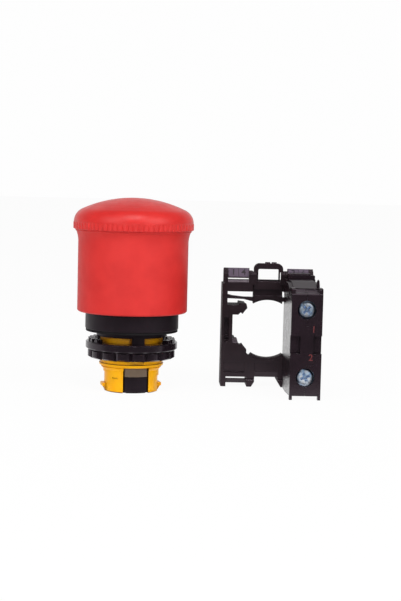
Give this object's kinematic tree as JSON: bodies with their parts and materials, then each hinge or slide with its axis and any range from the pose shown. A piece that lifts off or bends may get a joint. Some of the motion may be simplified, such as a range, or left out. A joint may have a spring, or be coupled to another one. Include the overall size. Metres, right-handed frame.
{
  "type": "emergency stop push button",
  "caption": "Red mushroom-head emergency stop operator with threaded yellow neck and ring nut, beside its clip-on fixing carrier with a screw-terminal contact block.",
  "frame": {"origin": "centre of the operator's panel seat, the underside of the bezel gasket", "axes": "+Z out of the panel towards the mushroom head; +X from the operator to the fixing carrier; +Y away from the contact block's terminal face"},
  "size_m": [0.0779, 0.0395, 0.061],
  "materials": {
    "red_plastic": "satin gloss",
    "black_plastic": "fine matte",
    "yellow_plastic": "satin gloss",
    "grey_plastic": "matte",
    "seal_rubber": "matte",
    "spring_steel": "drawn wire",
    "zinc_steel": "bluish zinc plate",
    "contact_brass": "plain",
    "contact_silver": "satin"
  },
  "bodies": {
    "operator": {"bezel_ring": "black_plastic", "bezel_gasket": "seal_rubber", "stem_seal": "seal_rubber", "neck_sleeve": "yellow_plastic", "guide_liner": "grey_plastic", "latch_spring": "spring_steel", "return_spring": "spring_steel"},
    "head": {"mushroom_cap": "red_plastic", "head_skirt": "red_plastic", "head_stem": "black_plastic", "retaining_clip": "spring_steel", "pusher": "black_plastic"},
    "washer": {"clamp_washer": "black_plastic"},
    "nut": {"ring_nut": "black_plastic"},
    "carrier": {"carrier_frame": "black_plastic", "latch_arm_left": "black_plastic", "latch_arm_right": "black_plastic", "contact_housing": "black_plastic", "contact_cover": "black_plastic", "fixed_contact_upper": "contact_brass", "fixed_contact_lower": "contact_brass", "plunger_spring": "spring_steel"},
    "latch": {"release_latch": "black_plastic"},
    "contact": {"contact_plunger": "grey_plastic", "contact_bridge": "contact_brass", "moving_contact_upper": "contact_silver", "moving_contact_lower": "contact_silver", "bridge_spring": "spring_steel"},
    "upper_clamp": {"upper_clamp_plate": "zinc_steel"},
    "upper_screw": {"upper_terminal_screw": "zinc_steel"},
    "lower_clamp": {"lower_clamp_plate": "zinc_steel"},
    "lower_screw": {"lower_terminal_screw": "zinc_steel"}
  },
  "joints": [
    {"name": "head_push", "type": "slide", "parent": "operator", "child": "head", "axis": [0, 0, -1], "range_m": [0, 0.0058], "deforming": ["return_spring", "latch_spring"]},
    {"name": "washer_slide", "type": "slide", "parent": "operator", "child": "washer", "axis": [0, 0, 1], "range_m": [-0.0012, 0.001]},
    {"name": "nut_turn", "type": "hinge", "parent": "washer", "child": "nut", "pos_m": [0, 0, -0.007], "axis": [0, 0, 1], "range_deg": [-432.1, 360.1]},
    {"name": "carrier_lift", "type": "slide", "parent": "operator", "child": "carrier", "axis": [0, 0, 1], "range_m": [0, 0.065]},
    {"name": "latch_slide", "type": "slide", "parent": "carrier", "child": "latch", "axis": [0, 0, 1], "range_m": [0, 0.0016], "stiffness_N_per_m": 400, "springref_m": -0.001, "deforming": ["latch_arm_left", "latch_arm_right"]},
    {"name": "contact_push", "type": "slide", "parent": "carrier", "child": "contact", "axis": [0, -1, 0], "range_m": [0, 0.0055], "stiffness_N_per_m": 400, "springref_m": -0.002, "deforming": ["plunger_spring"]},
    {"name": "upper_clamp_slide", "type": "slide", "parent": "carrier", "child": "upper_clamp", "axis": [0, 1, 0], "range_m": [0, 0.0022]},
    {"name": "upper_screw_turn", "type": "hinge", "parent": "upper_clamp", "child": "upper_screw", "pos_m": [0.054, -0.0115, 0.009], "axis": [0, 1, 0], "range_deg": [0, 1320.1]},
    {"name": "lower_clamp_slide", "type": "slide", "parent": "carrier", "child": "lower_clamp", "axis": [0, 1, 0], "range_m": [0, 0.0022]},
    {"name": "lower_screw_turn", "type": "hinge", "parent": "lower_clamp", "child": "lower_screw", "pos_m": [0.054, -0.0115, -0.012], "axis": [0, 1, 0], "range_deg": [0, 1320.1]}
  ],
  "couplings": [
    {"joint": "nut_turn", "follows": "washer_slide", "rad_per_m": 6283.2},
    {"joint": "upper_screw_turn", "follows": "upper_clamp_slide", "rad_per_m": 10472},
    {"joint": "lower_screw_turn", "follows": "lower_clamp_slide", "rad_per_m": 10472}
  ]
}
